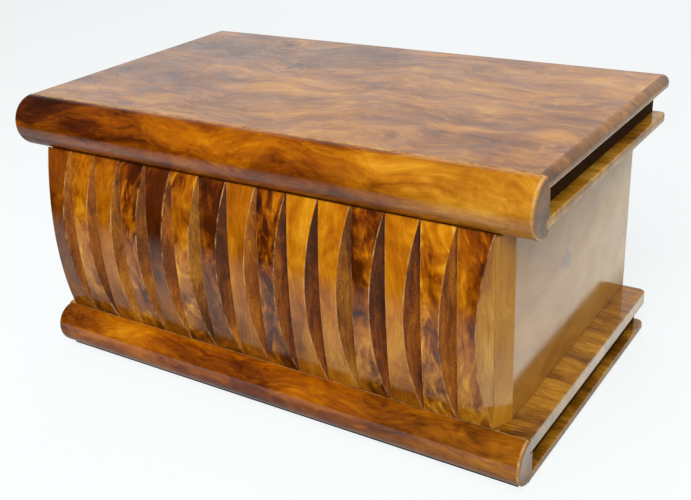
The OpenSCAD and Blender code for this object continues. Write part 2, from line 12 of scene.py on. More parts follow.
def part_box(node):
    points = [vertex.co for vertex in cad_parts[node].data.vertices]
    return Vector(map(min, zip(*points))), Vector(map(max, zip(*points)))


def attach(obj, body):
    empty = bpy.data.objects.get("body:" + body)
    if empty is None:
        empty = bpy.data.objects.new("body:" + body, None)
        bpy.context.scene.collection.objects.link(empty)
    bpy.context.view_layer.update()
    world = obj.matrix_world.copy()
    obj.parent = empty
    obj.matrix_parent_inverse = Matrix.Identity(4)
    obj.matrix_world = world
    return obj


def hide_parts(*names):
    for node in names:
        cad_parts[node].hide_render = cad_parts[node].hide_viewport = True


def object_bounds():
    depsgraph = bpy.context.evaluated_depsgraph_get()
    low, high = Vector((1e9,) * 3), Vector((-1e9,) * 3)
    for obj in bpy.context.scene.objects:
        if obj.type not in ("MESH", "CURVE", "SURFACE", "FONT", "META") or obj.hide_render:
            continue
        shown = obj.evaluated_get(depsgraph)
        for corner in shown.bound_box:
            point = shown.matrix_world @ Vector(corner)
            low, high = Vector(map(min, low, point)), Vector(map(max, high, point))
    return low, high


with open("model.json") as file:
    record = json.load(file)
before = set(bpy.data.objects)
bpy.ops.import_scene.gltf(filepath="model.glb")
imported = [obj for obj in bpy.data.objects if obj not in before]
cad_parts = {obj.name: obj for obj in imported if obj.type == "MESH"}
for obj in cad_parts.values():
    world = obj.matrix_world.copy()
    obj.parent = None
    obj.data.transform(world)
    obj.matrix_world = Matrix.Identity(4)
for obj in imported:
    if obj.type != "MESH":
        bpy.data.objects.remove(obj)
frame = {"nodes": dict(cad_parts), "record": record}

bl_info = {
    "name": "Burl Book Box",
    "version": (1, 0, 0),
    "blender": (4, 5, 0),
    "location": "View3D > Sidebar > Book Box",
    "description": "Eased shapes, burl and lacquer finishes and a pale stage for a wooden book box",
    "category": "Object",
}

MM = 0.001
CAD_BOX = [list(corner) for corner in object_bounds()]
BODY_OF = {node: body for body, nodes in frame["record"]["behaviour"]["bodies"].items() for node in nodes}
SLOT_OF = {part["node"]: part["material_slot"] for part in frame["record"]["subparts"]}
BOOKS = sorted(node for node in BODY_OF if node.startswith("book_") and node[5:].isdigit())
# Places closer than NEAR are the same, edges past SHARP are eased, and faces within SMOOTH are shaded as one
NEAR = 0.01 * MM
SHARP = math.radians(50.0)
SMOOTH = math.radians(38.0)
# Share of a leaf's thickness over which its edge falls away to the cut
LEAF_EDGE = 0.18

# Depth of colour of each book's face at its head, middle and foot, the same of its groove walls,
# how golden its walls are, and how mottled and how finely lined its face is
BOOK_TONES = [
    ((0.33, 0.29, 0.26), (0.58, 0.44, 0.38), 0.1, 0.3, 0.7),
    ((0.37, 0.47, 0.34), (0.50, 0.44, 0.22), 0.1, 1.1, 0.3),
    ((0.35, 0.51, 0.42), (0.30, 0.56, 0.60), 0.2, 0.4, 0.8),
    ((0.15, 0.30, 0.30), (0.52, 0.32, 0.58), 0.2, 1.3, 0.3),
    ((0.23, 0.26, 0.33), (0.50, 0.28, 0.52), 0.1, 0.3, 0.9),
    ((0.46, 0.46, 0.26), (0.58, 0.68, 0.28), 0.4, 1.4, 0.2),
    ((0.10, 0.16, 0.35), (0.16, 0.24, 0.54), 0.1, 0.8, 0.4),
    ((0.50, 0.47, 0.40), (0.58, 0.42, 0.40), 0.0, 0.2, 1.0),
    ((0.17, 0.28, 0.33), (0.15, 0.23, 0.30), 0.0, 1.3, 0.3),
    ((0.66, 0.56, 0.51), (0.17, 0.28, 0.46), 0.0, 0.4, 1.0),
    ((0.60, 0.55, 0.50), (0.46, 0.54, 0.56), 0.3, 0.5, 1.0),
    ((0.29, 0.35, 0.42), (0.33, 0.19, 0.21), 0.0, 1.3, 0.3),
    ((0.60, 0.58, 0.56), (0.35, 0.40, 0.48), 0.0, 0.2, 1.0),
    ((0.56, 0.54, 0.53), (0.44, 0.38, 0.46), 0.2, 1.5, 0.3),
    ((0.29, 0.43, 0.56), (0.52, 0.52, 0.50), 0.3, 1.0, 0.5),
]
# Depth of colour along each spine from its left end to its right end, and of the two end faces
LID_SPINE_TONES = (0.10, 0.24, 0.31, 0.40, 0.43, 0.47, 0.57, 0.64, 0.66)
LEFT_END_TONE, RIGHT_END_TONE = 0.21, 0.36
SPINE_GOLDS = (0.15, 0.05, 0.0, 0.0, 0.0, 0.05, 0.2, 0.35, 0.4)
BASE_SPINE_TONES = (0.38, 0.44, 0.45, 0.46, 0.38, 0.48, 0.38, 0.44, 0.47)
# Single knots and stains: place and reach in millimetres, depth of the dark heart and of the rings
LID_KNOTS = (((-64.0, 56.0, 116.0), 19.0, 0.15, 0.09), ((-36.0, 24.0, 116.0), 13.0, 0.15, 0.09),
             ((92.0, -28.0, 116.0), 44.0, 0.15, 0.0), ((-20.0, 62.0, 116.0), 40.0, 0.10, 0.0))
PANEL_KNOTS = (((109.0, -8.0, 63.0), 9.0, 0.30, 0.04), ((-109.0, 20.0, 50.0), 9.0, 0.18, 0.04),
               ((-38.0, 65.7, 60.0), 9.0, 0.18, 0.04))
# Colours of burl wood from its darkest to its palest part: their place, a red one and a gold one
BURL_COLOURS = [
    (0.00, (0.036, 0.006, 0.001), (0.022, 0.010, 0.003)),
    (0.20, (0.095, 0.016, 0.001), (0.088, 0.034, 0.004)),
    (0.40, (0.28, 0.062, 0.001), (0.25, 0.110, 0.008)),
    (0.58, (0.47, 0.135, 0.001), (0.45, 0.220, 0.018)),
    (0.76, (0.66, 0.245, 0.003), (0.62, 0.350, 0.050)),
    (1.00, (0.88, 0.440, 0.030), (0.80, 0.540, 0.160)),
]


class BookBoxShape(PropertyGroup):
    """Sizes of the shapes that are finished by hand."""

    cover_arris: FloatProperty(
        name="Cover arris", description="Rounding of the covers' edges", default=0.6 * MM, unit="LENGTH")
    panel_arris: FloatProperty(
        name="Panel arris", description="Rounding of the panels' edges", default=0.4 * MM, unit="LENGTH")
    metal_arris: FloatProperty(
        name="Metal arris", description="Rounding of the metal parts' edges", default=0.1 * MM, unit="LENGTH")
    cover_corner: FloatProperty(
        name="Cover corner", description="Rounding of the covers' rear corners",
        default=3.3 * MM, unit="LENGTH")
    lid_round: FloatProperty(
        name="Lid rounding", description="Rounding of the lid's upper edges", default=3.0 * MM, unit="LENGTH")
    spine_left: FloatProperty(
        name="Spine left end", description="Rounding of the spines' left ends",
        default=2.4 * MM, unit="LENGTH")
    spine_right: FloatProperty(
        name="Spine right end", description="Rounding of the spines' right ends",
        default=1.0 * MM, unit="LENGTH")
    crease: FloatProperty(
        name="Crease", description="Depth of the crease between a spine and its cover",
        default=0.5 * MM, unit="LENGTH")
    wall_angle: FloatProperty(
        name="Wall angle", description="Lean of the books' groove walls",
        default=math.radians(23.5), subtype="ANGLE")
    book_edge: FloatProperty(
        name="Book edge", description="Thickness of a book at its head and foot",
        default=0.8 * MM, unit="LENGTH")
    book_arris: FloatProperty(
        name="Book arris", description="Rounding of the books' long edges", default=0.35 * MM, unit="LENGTH")
    leaf_pitch: FloatProperty(
        name="Leaf pitch", description="Distance between the leaves of a page block",
        default=0.66 * MM, unit="LENGTH")
    leaf_cut: FloatProperty(
        name="Leaf cut", description="Depth of the cut between two leaves", default=0.16 * MM, unit="LENGTH")
    slot_width: FloatProperty(
        name="Slot width", description="Width of the slots in the screws' heads",
        default=0.6 * MM, unit="LENGTH")
    slot_depth: FloatProperty(
        name="Slot depth", description="Depth of the slots in the screws' heads",
        default=0.3 * MM, unit="LENGTH")


class BookBoxFinish(PropertyGroup):
    """Colours of the finishes."""

    wear: FloatVectorProperty(
        name="Wear", description="Bare wood on rubbed edges", subtype="COLOR", default=(0.62, 0.36, 0.13))
    edge_wood: FloatVectorProperty(
        name="Edge wood", description="Solid wood along the covers' edges", subtype="COLOR",
        default=(0.22, 0.115, 0.030))
    page: FloatVectorProperty(
        name="Page wood", description="Dark stain of the page blocks", subtype="COLOR",
        default=(0.075, 0.028, 0.006))
    inner: FloatVectorProperty(
        name="Inner wood", description="Plain wood on the inside", subtype="COLOR",
        default=(0.36, 0.19, 0.075))
    brass: FloatVectorProperty(
        name="Brass", description="Brass of the hinges and the lock", subtype="COLOR",
        default=(0.92, 0.60, 0.21))
    steel: FloatVectorProperty(
        name="Steel", description="Steel of the lock and the key", subtype="COLOR",
        default=(0.52, 0.51, 0.50))
    # Near black: the felt's own black, partly deepened as painted contact shade under the base
    felt: FloatVectorProperty(
        name="Felt", description="Felt under the base", subtype="COLOR", default=(0.006, 0.005, 0.005))


class BookBoxStage(PropertyGroup):
    """Camera, light and floor."""

    eye: FloatVectorProperty(
        name="Eye", description="Place of the camera", subtype="TRANSLATION",
        default=(0.23122, -0.34246, 0.23052), unit="LENGTH")
    azimuth: FloatProperty(
        name="Azimuth", description="Turn of the camera round the box from its front",
        default=math.radians(33.76), subtype="ANGLE")
    elevation: FloatProperty(
        name="Elevation", description="Height of the camera as an angle",
        default=math.radians(24.59), subtype="ANGLE")
    roll: FloatProperty(
        name="Roll", description="Lean of the camera about its own axis",
        default=math.radians(-3.01), subtype="ANGLE")
    lens: FloatProperty(
        name="Lens", description="Focal length on a 36 mm wide sensor", default=52.53)
    key_power: FloatProperty(
        name="Key light", description="Power of the lamp in front", default=20.0, unit="POWER")
    fill_power: FloatProperty(
        name="Fill light", description="Power of the lamp on the left", default=3.0, unit="POWER")
    top_power: FloatProperty(
        name="Top light", description="Power of the lamp overhead", default=2.0, unit="POWER")
    rear_power: FloatProperty(
        name="Rear light", description="Power of the lamp behind", default=5.0, unit="POWER")
    ambient: FloatProperty(
        name="Ambient", description="Light from all round", default=0.20)
    floor: FloatVectorProperty(
        name="Floor", description="Colour of the cloth", subtype="COLOR", default=(0.90, 0.92, 0.94))
    bounce: FloatVectorProperty(
        name="Bounce", description="Colour of the cloth as it lights the box", subtype="COLOR",
        default=(0.34, 0.34, 0.34))


# Node trees

class Nodes:
    """Adds and links the nodes of one tree."""

    def __init__(self, tree):
        self.tree = tree

    def put(self, socket, value):
        """Links a socket to another, or sets its value."""
        if isinstance(value, bpy.types.NodeSocket):
            self.tree.links.new(value, socket)
        else:
            socket.default_value = value

    def add(self, kind, inputs=(), **settings):
        """A node of a kind, with settings and with values or links for its inputs."""
        node = self.tree.nodes.new("ShaderNode" + kind)
        for name, value in settings.items():
            setattr(node, name, value)
        for key, value in dict(inputs).items():
            self.put(node.inputs[key], value)
        return node

    def math(self, operation, first, second=0.0, third=0.0, clamp=False):
        """The result of one sum."""
        node = self.add("Math", {0: first, 1: second, 2: third}, operation=operation, use_clamp=clamp)
        return node.outputs[0]

    def vector(self, operation, first, second):
        """The result of one sum of vectors."""
        return self.add("VectorMath", {0: first, 1: second}, operation=operation).outputs[0]

    def scaled(self, vector, amount):
        """A vector times a number."""
        return self.add("VectorMath", {0: vector, "Scale": amount}, operation="SCALE").outputs[0]

    def drawn(self, vector, share):
        """A place drawn out along X, the way of the grain."""
        return self.vector("MULTIPLY", vector, (share, 1.0, 1.0))

    def noise(self, vector, size, detail, rough=0.5, warp=0.0, output=0):
        """A noise whose features are about as large as size."""
        return self.add("TexNoise", {"Vector": vector, "Scale": 1.0 / size, "Detail": detail,
                                     "Roughness": rough, "Distortion": warp}).outputs[output]

    def stir(self, vector, size, detail, amount):
        """A push to a random side, times an amount."""
        push = self.vector("SUBTRACT", self.noise(vector, size, detail, output=1), (0.5, 0.5, 0.5))
        return self.scaled(push, amount)

    def ramp(self, value, low, high, start=0.0, end=1.0):
        """A smooth step from start to end as a value goes from low to high."""
        return self.add("MapRange", {"Value": value, 1: low, 2: high, 3: start, 4: end},
                        interpolation_type="SMOOTHSTEP").outputs[0]

    def blend(self, factor, first, second, mode="MIX"):
        """A mix of two colours."""
        node = self.add("Mix", {0: factor, 6: first, 7: second}, data_type="RGBA", blend_type=mode)
        return node.outputs[2]

    def gradient(self, value, places, colours):
        """A colour from a row of places and their colours."""
        node = self.add("ValToRGB", {0: value})
        elements = node.color_ramp.elements
        while len(elements) < len(places):
            elements.new(1.0)
        for element, place, colour in zip(elements, places, colours):
            element.position = place
            element.color = (*colour, 1.0)
        return node.outputs[0]

    def give(self, **results):
        """Puts out the results of a node group and returns its tree."""
        leave = self.tree.nodes.new("NodeGroupOutput")
        for label, value in results.items():
            kind = "NodeSocketColor" if value.type == "RGBA" else "NodeSocketFloat"
            self.tree.interface.new_socket(label, in_out="OUTPUT", socket_type=kind)
            self.put(leave.inputs[label], value)
        return self.tree


def new_group(name, vectors=("Vector",), **numbers):
    """A node group with vectors and numbers as inputs: its nodes and its inputs."""
    tree = bpy.data.node_groups.new(name, "ShaderNodeTree")
    for label in vectors:
        tree.interface.new_socket(label, in_out="INPUT", socket_type="NodeSocketVector")
    for label, value in numbers.items():
        socket = tree.interface.new_socket(label, in_out="INPUT", socket_type="NodeSocketFloat")
        socket.default_value = value
    return Nodes(tree), tree.nodes.new("NodeGroupInput").outputs


def burl_figure():
    """The figure of burl wood with its grain along X, on places in millimetres."""
    nodes, given = new_group("Burl Figure", Tone=0.45, Contrast=1.0, Swirl=1.0, Mottle=0.4, Lines=0.4,
                             Eyes=0.6, Gold=0.0, Size=1.0)
    place = nodes.scaled(given["Vector"], nodes.math("DIVIDE", 1.0, given["Size"]))
    wide = nodes.stir(place, 44.0, 1.0, nodes.math("MULTIPLY", given["Swirl"], 36.0))
    tight = nodes.stir(place, 12.0, 1.0, nodes.math("MULTIPLY", given["Swirl"], 6.0))
    place = nodes.vector("ADD", nodes.vector("ADD", place, wide), tight)
    flame = nodes.noise(nodes.drawn(place, 0.20), 7.0, 6.0, 0.62, 0.3)
    patch = nodes.noise(nodes.drawn(place, 0.45), 24.0, 2.0)
    mottle = nodes.noise(nodes.drawn(place, 0.6), 6.0, 4.0, 0.6, 1.0)
    streak = nodes.noise(nodes.drawn(place, 0.32), 4.2, 3.0, 0.55, 1.4)
    streak = nodes.ramp(streak, 0.53, 0.63, 0.46, 0.82)
    threads = nodes.noise(nodes.drawn(place, 0.03), 0.8, 2.0, 0.6)
    rings = nodes.add("TexWave", {"Vector": nodes.drawn(place, 0.15), "Scale": 0.16, "Distortion": 3.0,
                                  "Detail": 2.0, "Detail Scale": 0.6}, bands_direction="Y").outputs["Fac"]
    cells = nodes.add("TexVoronoi", {"Vector": nodes.drawn(place, 0.6), "Scale": 1.0 / 27.0})
    chosen = nodes.ramp(nodes.add("SeparateColor", {0: cells.outputs["Color"]}).outputs[0], 0.52, 0.60)
    chosen = nodes.math("MULTIPLY", chosen, given["Eyes"])
    eye = nodes.math("MULTIPLY", nodes.ramp(cells.outputs["Distance"], 0.12, 0.03), chosen)
    halo = nodes.math("MULTIPLY", nodes.ramp(cells.outputs["Distance"], 0.34, 0.12), chosen)
    shifts = [(flame, 1.15, None), (patch, 0.95, None), (mottle, 1.2, "Mottle"), (streak, 0.55, "Mottle"),
              (threads, 0.42, "Lines"), (rings, 0.06, "Lines")]
    total = nodes.math("MULTIPLY", halo, 0.06)
    for noise, weight, share in shifts:
        amount = nodes.math("MULTIPLY", given[share], weight) if share else weight
        total = nodes.math("MULTIPLY_ADD", nodes.math("SUBTRACT", noise, 0.5), amount, total)
    tone = nodes.math("MULTIPLY_ADD", total, given["Contrast"], given["Tone"])
    tone = nodes.math("MULTIPLY_ADD", eye, -0.34, tone, clamp=True)
    places, reds, golds = zip(*BURL_COLOURS)
    red, gold = nodes.gradient(tone, places, reds), nodes.gradient(tone, places, golds)
    return nodes.give(Color=nodes.blend(given["Gold"], red, gold), Grain=threads)


def knot():
    """One knot with its rings, at a place in millimetres."""
    nodes, given = new_group("Knot", ("Vector", "Place"), Reach=8.0)
    place = nodes.vector("ADD", given["Vector"], nodes.stir(given["Vector"], 9.0, 3.0, 14.0))
    way = nodes.vector("MULTIPLY", nodes.vector("SUBTRACT", place, given["Place"]), (1.2, 0.8, 0.8))
    far = nodes.add("VectorMath", {0: way}, operation="LENGTH").outputs["Value"]
    share = nodes.math("DIVIDE", far, given["Reach"])
    wave = nodes.math("SINE", nodes.math("MULTIPLY", far, 1.6))
    ring = nodes.math("MULTIPLY", wave, nodes.ramp(share, 1.0, 0.3))
    return nodes.give(Dark=nodes.ramp(share, 0.50, 0.08), Ring=ring)


def edge_wear():
    """Where the finish is rubbed through along edges, broken up by a noise."""
    nodes, given = new_group("Edge Wear", Edge=0.0, Amount=0.6)
    noise = nodes.noise(given["Vector"], 5.0, 4.0, 0.65)
    worn = nodes.ramp(nodes.math("ADD", noise, given["Amount"]), 0.80, 1.15)
    return nodes.give(Mask=nodes.math("MULTIPLY", worn, given["Edge"], clamp=True))


def lacquer_surface():
    """Slight waves and smears of a hand-polished lacquer."""
    nodes, given = new_group("Lacquer Surface", Grain=0.5)
    smear = nodes.noise(given["Vector"], 16.0, 4.0, 0.6)
    dust = nodes.noise(given["Vector"], 0.9, 2.0, 0.6)
    wave = nodes.noise(given["Vector"], 9.0, 1.0)
    return nodes.give(
        Roughness=nodes.ramp(smear, 0.3, 0.7, 0.24, 0.36),
        Veil=nodes.ramp(nodes.math("MULTIPLY_ADD", dust, 0.5, smear), 0.5, 1.0, 0.80, 1.0),
        Height=nodes.math("MULTIPLY_ADD", given["Grain"], 0.03, wave))


def cut_grain():
    """Sawn or planed wood across the grain: specks, pores and saw lines, on places in millimetres."""
    nodes, given = new_group("Cut Grain")
    speck = nodes.noise(given["Vector"], 0.55, 3.0, 0.7)
    line = nodes.noise(nodes.drawn(given["Vector"], 0.06), 0.7, 3.0, 0.6)
    return nodes.give(Speck=speck, Line=line, Height=nodes.math("ADD", speck, line))


def metal_age():
    """Brushed lines and dull patches of old metal."""
    nodes, given = new_group("Metal Age")
    dull = nodes.noise(given["Vector"], 9.0, 3.0)
    line = nodes.noise(nodes.drawn(given["Vector"], 0.04), 0.25, 2.0)
    return nodes.give(Dull=nodes.ramp(dull, 0.40, 0.75), Line=line)


EFFECTS = {"Burl Figure": burl_figure, "Knot": knot, "Edge Wear": edge_wear,
           "Lacquer Surface": lacquer_surface, "Cut Grain": cut_grain, "Metal Age": metal_age}
# Turns that lay the grain along each axis
GRAINS = {"X": (0.0, 0.0, 0.0), "Y": (0.0, 0.0, -math.pi / 2), "Z": (0.0, math.pi / 2, 0.0)}


class Finish(Nodes):
    """One material on its way: its nodes, its shader and its places in millimetres along the grain."""

    def __init__(self, name, grain="X", offset=(0.0, 0.0, 0.0)):
        self.material = bpy.data.materials.new(name)
        self.material.use_nodes = True
        super().__init__(self.material.node_tree)
        self.shader = self.tree.nodes["Principled BSDF"]
        coords = self.add("TexCoord")
        self.normal = coords.outputs["Normal"]
        self.spot = self.scaled(coords.outputs["Object"], 1.0 / MM)
        laid = {"Vector": coords.outputs["Object"], "Location": offset, "Rotation": GRAINS[grain],
                "Scale": (1.0 / MM,) * 3}
        self.place = self.add("Mapping", laid).outputs[0]

    def effect(self, name, **inputs):
        """One of the shared effects, placed in this material."""
        tree = bpy.data.node_groups.get(name) or EFFECTS[name]()
        node = self.add("Group", node_tree=tree)
        self.put(node.inputs["Vector"], self.place)
        for key, value in inputs.items():
            self.put(node.inputs[key], value)
        return node.outputs

    def attribute(self, name):
        """A value that the mesh carries."""
        return self.add("Attribute", attribute_name=name).outputs["Fac"]

    def set(self, **values):
        """Values or links for the shader, with _ for a space in a name."""
        for key, value in values.items():
            self.put(self.shader.inputs[key.replace("_", " ")], value)

    def shaded(self, colour, share):
        """A colour times a number."""
        grey = self.add("CombineColor", {0: share, 1: share, 2: share}).outputs[0]
        return self.blend(1.0, colour, grey, "MULTIPLY")

    def bumped(self, height, distance):
        """The material with a bump of a height in metres on its shader."""
        node = self.add("Bump", {"Height": height, "Distance": distance, "Strength": 1.0})
        self.put(self.shader.inputs["Normal"], node.outputs[0])
        return self.material


def rgba(colour, share=1.0):
    """A colour times a share, as four numbers."""
    return (*(Vector(colour) * share), 1.0)


def lacquered_burl(name, grain="X", offset=(0.0, 0.0, 0.0), tone=0.0, contrast=1.0, swirl=1.0, mottle=0.4,
                   lines=0.4, eyes=0.6, wear=0.45, gold=0.0, size=1.0, blur=0.07, knots=(), inside=None):
    """Polished burl wood under lacquer, with rubbed edges and, on request, a plain face on the inside."""
    look = bpy.context.scene.book_box_finish
    finish = Finish(name, grain, offset)
    depth = finish.math("ADD", finish.attribute("tone"), tone)
    for place, reach, heart, ring in knots:
        knotted = finish.effect("Knot", Vector=finish.spot, Place=place, Reach=reach)
        depth = finish.math("MULTIPLY_ADD", knotted["Dark"], -heart, depth)
        depth = finish.math("MULTIPLY_ADD", knotted["Ring"], ring, depth)
    mottled = finish.attribute("mottle")
    contrast = finish.math("MULTIPLY_ADD", mottled, 0.12, contrast)
    burl = finish.effect(
        "Burl Figure", Tone=depth, Contrast=contrast, Swirl=swirl, Eyes=eyes, Size=size,
        Mottle=finish.math("ADD", mottled, mottle),
        Lines=finish.math("ADD", finish.attribute("lines"), lines),
        Gold=finish.math("ADD", finish.attribute("gold"), gold))
    worn = finish.effect("Edge Wear", Edge=finish.attribute("edge"), Amount=wear)["Mask"]
    surface = finish.effect("Lacquer Surface", Grain=burl["Grain"])
    colour = finish.blend(worn, burl["Color"], rgba(look.wear))
    coat = finish.math("MULTIPLY", finish.math("MULTIPLY_ADD", worn, -0.6, 1.0), surface["Veil"])
    rough = surface["Roughness"]
    if inside:
        facing = finish.add("VectorMath", {0: finish.normal, 1: inside}, operation="DOT_PRODUCT")
        inner = finish.ramp(facing.outputs["Value"], 0.45, 0.55)
        lined = finish.ramp(finish.effect("Cut Grain")["Line"], 0.3, 0.7)
        plain = finish.blend(lined, rgba(look.inner, 0.6), rgba(look.inner))
        colour = finish.blend(inner, colour, finish.blend(0.4, plain, burl["Color"]))
        coat = finish.math("MULTIPLY", coat, finish.math("SUBTRACT", 1.0, inner))
        rough = finish.math("MULTIPLY_ADD", inner, 0.3, rough)
    finish.set(Base_Color=colour, Roughness=rough, Specular_IOR_Level=0.0, Coat_Weight=coat,
               Coat_Roughness=blur, Coat_IOR=1.5)
    return finish.bumped(surface["Height"], 0.05 * MM)


def groove_wall_wood():
    """Sawn, unpolished walls of the grooves between the books."""
    look = bpy.context.scene.book_box_finish
    finish = Finish("groove_wall_wood", "Z", (31.0, 7.0, 12.0))
    burl = finish.effect(
        "Burl Figure", Tone=finish.attribute("wall_tone"), Contrast=1.0, Swirl=0.4, Mottle=0.5, Lines=0.8,
        Eyes=0.0, Gold=finish.attribute("wall_gold"), Size=1.1)
    sawn = finish.effect("Cut Grain")
    pale = finish.blend(0.15, burl["Color"], rgba((0.40, 0.22, 0.13)))
    colour = finish.shaded(pale, finish.ramp(sawn["Speck"], 0.36, 0.64, 0.70, 1.24))
    fleck = finish.ramp(sawn["Speck"], 0.64, 0.74, 0.0, 0.30)
    colour = finish.blend(fleck, colour, rgba((0.42, 0.30, 0.22)))
    worn = finish.effect("Edge Wear", Edge=finish.attribute("edge"), Amount=0.4)["Mask"]
    finish.set(Base_Color=finish.blend(worn, colour, rgba(look.wear)),
               Roughness=finish.ramp(sawn["Speck"], 0.3, 0.7, 0.56, 0.40), Specular_IOR_Level=0.2)
    return finish.bumped(sawn["Height"], 0.12 * MM)


def edge_wood():
    """Solid wood along the covers' edges: cross grain with dark bands, thinly lacquered."""
    look = bpy.context.scene.book_box_finish
    finish = Finish("edge_wood", "X", (17.0, 90.0, 40.0))
    burl = finish.effect("Burl Figure", Tone=0.44, Contrast=0.9, Swirl=0.3, Mottle=0.5, Lines=0.4, Eyes=0.3,
                         Gold=0.5, Size=1.8)
    sawn = finish.effect("Cut Grain")
    colour = finish.blend(0.25, burl["Color"], rgba(look.edge_wood))
    finish.set(Base_Color=finish.shaded(colour, finish.ramp(sawn["Speck"], 0.42, 0.60, 0.85, 1.05)),
               Roughness=finish.ramp(sawn["Line"], 0.3, 0.7, 0.30, 0.48), Specular_IOR_Level=0.0,
               Coat_Weight=0.8, Coat_Roughness=0.14)
    return finish.bumped(sawn["Height"], 0.05 * MM)


def plain_wood(name, colour, roughness, gloss=0.4):
    """Planed wood with its grain lines and pores."""
    finish = Finish(name)
    sawn = finish.effect("Cut Grain")
    tint = finish.blend(finish.ramp(sawn["Line"], 0.3, 0.7), rgba(colour, 0.65), rgba(colour))
    finish.set(Base_Color=finish.shaded(tint, finish.ramp(sawn["Speck"], 0.36, 0.55, 0.75, 1.0)),
               Roughness=finish.ramp(sawn["Line"], 0.3, 0.7, roughness - 0.08, roughness + 0.08),
               Specular_IOR_Level=gloss)
    return finish.bumped(sawn["Height"], 0.06 * MM)


def aged_metal(name, colour, roughness):
    """Brushed metal with dull patches and bright edges."""
    finish = Finish(name)
    age = finish.effect("Metal Age")
    bright = finish.attribute("edge")
    dulled = finish.math("MULTIPLY", age["Dull"], finish.math("MULTIPLY_ADD", bright, -0.8, 1.0))
    finish.set(Base_Color=finish.blend(dulled, rgba(colour), rgba(colour, 0.65)), Metallic=0.65,
               Roughness=finish.math("MULTIPLY_ADD", dulled, 0.22, roughness))
    return finish.bumped(age["Line"], 0.02 * MM)


def felt_cloth():
    """Short-piled felt."""
    look = bpy.context.scene.book_box_finish
    finish = Finish("felt_cloth")
    pile = finish.noise(finish.place, 0.4, 5.0, 0.7)
    colour = finish.blend(pile, rgba(look.felt, 0.5), rgba(look.felt, 2.0))
    finish.set(Base_Color=colour, Roughness=finish.ramp(pile, 0.3, 0.7, 0.85, 1.0), Specular_IOR_Level=0.1)
    return finish.bumped(pile, 0.3 * MM)


# Meshes

def layer(bm, domain, name):
    """A float layer on the mesh's faces or points."""
    layers = getattr(bm, domain).layers.float
    return layers.get(name) or layers.new(name)


def add_piece(node, bm, materials):
    """A finished mesh that stands for a node and rides on its body."""
    mesh = bpy.data.meshes.new(node + "_finished")
    bmesh.ops.recalc_face_normals(bm, faces=bm.faces)
    bm.to_mesh(mesh)
    bm.free()
    for item in materials:
        mesh.materials.append(item)
    mesh.polygons.foreach_set("use_smooth", [True] * len(mesh.polygons))
    mesh.set_sharp_from_angle(angle=SMOOTH)
    piece = bpy.data.objects.new(node + "_finished", mesh)
    bpy.context.scene.collection.objects.link(piece)
    shading = piece.modifiers.new("Even shading", "WEIGHTED_NORMAL")
    shading.keep_sharp = True
    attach(piece, BODY_OF[node])
    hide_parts(node)


def round_edges(bm, edges, reach, segments):
    """Rounds edges and returns the faces of the rounds."""
    return bmesh.ops.bevel(bm, geom=edges, offset=reach, segments=segments, profile=0.5,
                           affect="EDGES")["faces"]


def eased_copy(node, arris):
    """A copy of a node's shape with its long arrises and its rear corners rounded and marked as edges."""
    low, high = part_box(node)
    reach = bpy.context.scene.book_box_shape.cover_corner

    def in_corner(edge):
        middle = (edge.verts[0].co + edge.verts[1].co) / 2
        return min(middle.x - low.x, high.x - middle.x) < reach and high.y - middle.y < reach

    bm = bmesh.new()
    bm.from_mesh(frame["nodes"][node].data)
    bmesh.ops.remove_doubles(bm, verts=bm.verts, dist=0.002 * MM)
    bmesh.ops.dissolve_limit(bm, angle_limit=math.radians(0.4), verts=bm.verts, edges=bm.edges)
    edge = layer(bm, "faces", "edge")
    sharp = [e for e in bm.edges if e.is_manifold and e.calc_face_angle() > SHARP
             and (e.calc_length() > 5.0 * arris or in_corner(e))]
    for face in round_edges(bm, sharp, arris, 2):
        face[edge] = 1.0
    return bm


def slot_heads(bm):
    """Cuts a driver's slot in the flat face of each screw's head."""
    shape = bpy.context.scene.book_box_shape
    widest = max(face.calc_area() for face in bm.faces)
    for head in [face for face in bm.faces if face.calc_area() > 0.6 * widest]:
        middle, normal = head.calc_center_median(), head.normal.copy()
        radius = max((vert.co - middle).length for vert in head.verts)
        along = Vector((1.0, 0.0, 0.0))
        pieces = [head]
        for way, reach in ((normal.cross(along), shape.slot_width / 2), (along, 0.6 * radius)):
            for side in (-reach, reach):
                around = {item for face in pieces for item in (face, *face.edges, *face.verts)}
                bmesh.ops.bisect_plane(bm, geom=list(around), plane_co=middle + way * side, plane_no=way)
                pieces = [face for face in bm.faces if face.normal.dot(normal) > 0.99
                          and (face.calc_center_median() - middle).length < radius]
        slot = min(pieces, key=lambda face: (face.calc_center_median() - middle).length)
        for face in bmesh.ops.extrude_discrete_faces(bm, faces=[slot])["faces"]:
            for vert in face.verts:
                vert.co -= normal * shape.slot_depth


def cut_leaves(bm, low, high):
    """Cuts fine lines between leaves into the right end of a block."""
    shape = bpy.context.scene.book_box_shape
    count = round((high.z - low.z) / shape.leaf_pitch)
    pitch = (high.z - low.z) / count
    cuts = []
    for i in range(1, count):
        cuts.append((low.z + pitch * (i - LEAF_EDGE), low.z + pitch * (i + LEAF_EDGE)))
        for z in cuts[-1]:
            bmesh.ops.bisect_plane(bm, geom=bm.verts[:] + bm.edges[:] + bm.faces[:], plane_co=(0.0, 0.0, z),
                                   plane_no=(0.0, 0.0, 1.0))
    bm.normal_update()

    def in_cut(face):
        middle = face.calc_center_median()
        return (face.normal.x > 0.9 and high.x - middle.x < NEAR
                and any(start < middle.z < end for start, end in cuts))

    faces = [face for face in bm.faces if in_cut(face)]
    for face in bmesh.ops.extrude_discrete_faces(bm, faces=faces)["faces"]:
        for vert in face.verts:
            vert.co.x -= shape.leaf_cut


